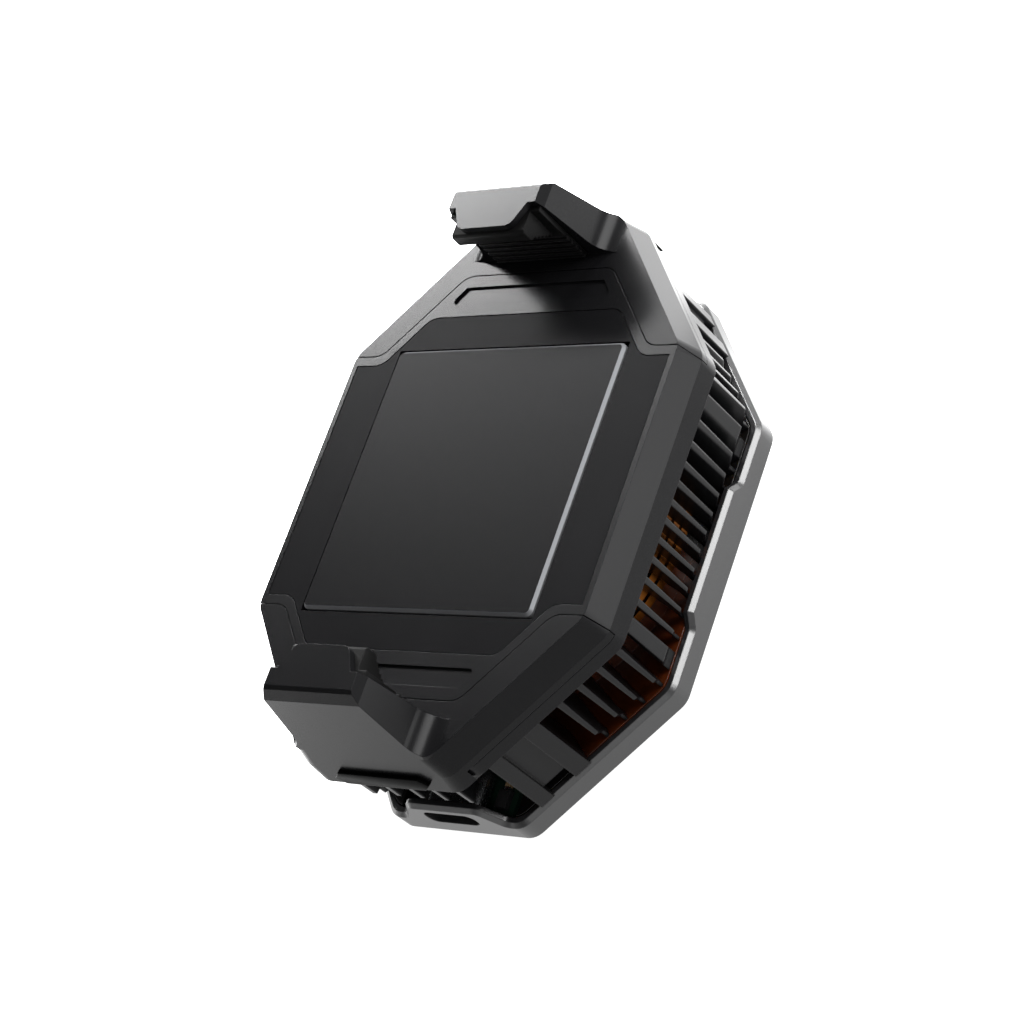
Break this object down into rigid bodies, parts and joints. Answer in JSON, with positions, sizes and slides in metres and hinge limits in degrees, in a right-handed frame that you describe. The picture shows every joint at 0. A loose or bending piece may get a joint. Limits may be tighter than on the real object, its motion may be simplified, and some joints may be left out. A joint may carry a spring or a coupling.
{
  "type": "phone cooling fan",
  "caption": "Clip-on phone cooler with a cold plate on its face, two coupled sliding jaws with rubber grips, a louvred vent cage and a fan behind it.",
  "frame": {"origin": "on the fan's axis at the rear face, the centre of the box's underside", "axes": "+Z from the rear face towards the cold plate and the jaws, +Y from the power socket towards the upper jaw"},
  "size_m": [0.059, 0.0834, 0.0382],
  "materials": {
    "housing_plastic": "satin",
    "contact_film": "satin",
    "anodised_plate": "anodised satin",
    "module_ceramic": "smooth",
    "gasket_foam": "matt",
    "inner_plastic": "matt",
    "bar_gloss": "gloss",
    "grip_rubber": "matt",
    "gear_plastic": "satin",
    "fastener_steel": "plated",
    "amber_metal": "anodised satin",
    "cage_plastic": "satin",
    "ring_metal": "gunmetal satin",
    "amber_plastic": "satin",
    "board_mask": "satin",
    "chip_black": "matt",
    "socket_steel": "plated",
    "wire_red": "satin",
    "wire_black": "satin",
    "cover_plastic": "satin",
    "bearing_bronze": "plain",
    "stator_iron": "plain",
    "magnet_grey": "plain"
  },
  "bodies": {
    "case": {"front_frame": "housing_plastic", "contact_panel": "contact_film", "cold_plate": "anodised_plate", "peltier_module": "module_ceramic", "insulation_gasket": "gasket_foam", "guide_plate": "inner_plastic", "right_pinion_pin": "fastener_steel", "left_pinion_pin": "fastener_steel", "right_return_spring": "fastener_steel", "left_return_spring": "fastener_steel", "case_screw_1": "fastener_steel", "case_screw_2": "fastener_steel", "case_screw_3": "fastener_steel", "case_screw_4": "fastener_steel", "sink_screw_1": "fastener_steel", "sink_screw_2": "fastener_steel", "sink_screw_3": "fastener_steel", "sink_screw_4": "fastener_steel", "heat_sink": "amber_metal", "vent_cage": "cage_plastic", "rear_frame": "ring_metal", "air_guide": "amber_plastic", "circuit_board": "board_mask", "board_chips": "chip_black", "usb_socket": "socket_steel", "red_module_wire": "wire_red", "black_module_wire": "wire_black", "fan_cover": "cover_plastic", "motor_bearing": "bearing_bronze", "motor_stator": "stator_iron"},
    "upper_jaw": {"upper_jaw": "housing_plastic", "upper_finger_bar": "bar_gloss", "upper_grip": "grip_rubber"},
    "lower_jaw": {"lower_jaw": "housing_plastic", "lower_finger_bar": "bar_gloss", "lower_grip": "grip_rubber"},
    "right_pinion": {"right_pinion": "gear_plastic"},
    "left_pinion": {"left_pinion": "gear_plastic"},
    "fan": {"impeller": "amber_plastic", "rotor_magnet": "magnet_grey", "fan_shaft": "fastener_steel"}
  },
  "joints": [
    {"name": "upper_jaw_slide", "type": "slide", "parent": "case", "child": "upper_jaw", "axis": [0, 1, 0], "range_m": [0, 0.01], "stiffness_N_per_m": 300, "springref_m": -0.004, "deforming": ["right_return_spring"]},
    {"name": "lower_jaw_slide", "type": "slide", "parent": "case", "child": "lower_jaw", "axis": [0, -1, 0], "range_m": [0, 0.01], "deforming": ["left_return_spring"]},
    {"name": "right_pinion_turn", "type": "hinge", "parent": "case", "child": "right_pinion", "pos_m": [0.024, 0, 0.02175], "axis": [0, 0, 1], "range_deg": [-4, 291]},
    {"name": "left_pinion_turn", "type": "hinge", "parent": "case", "child": "left_pinion", "pos_m": [-0.024, 0, 0.02175], "axis": [0, 0, 1], "range_deg": [-4, 291]},
    {"name": "fan_spin", "type": "hinge", "parent": "case", "child": "fan", "pos_m": [0, 0, 0.005], "axis": [0, 0, 1], "continuous": true}
  ],
  "couplings": [
    {"joint": "lower_jaw_slide", "follows": "upper_jaw_slide", "ratio": 1},
    {"joint": "right_pinion_turn", "follows": "upper_jaw_slide", "rad_per_m": 500},
    {"joint": "left_pinion_turn", "follows": "upper_jaw_slide", "rad_per_m": 500}
  ]
}
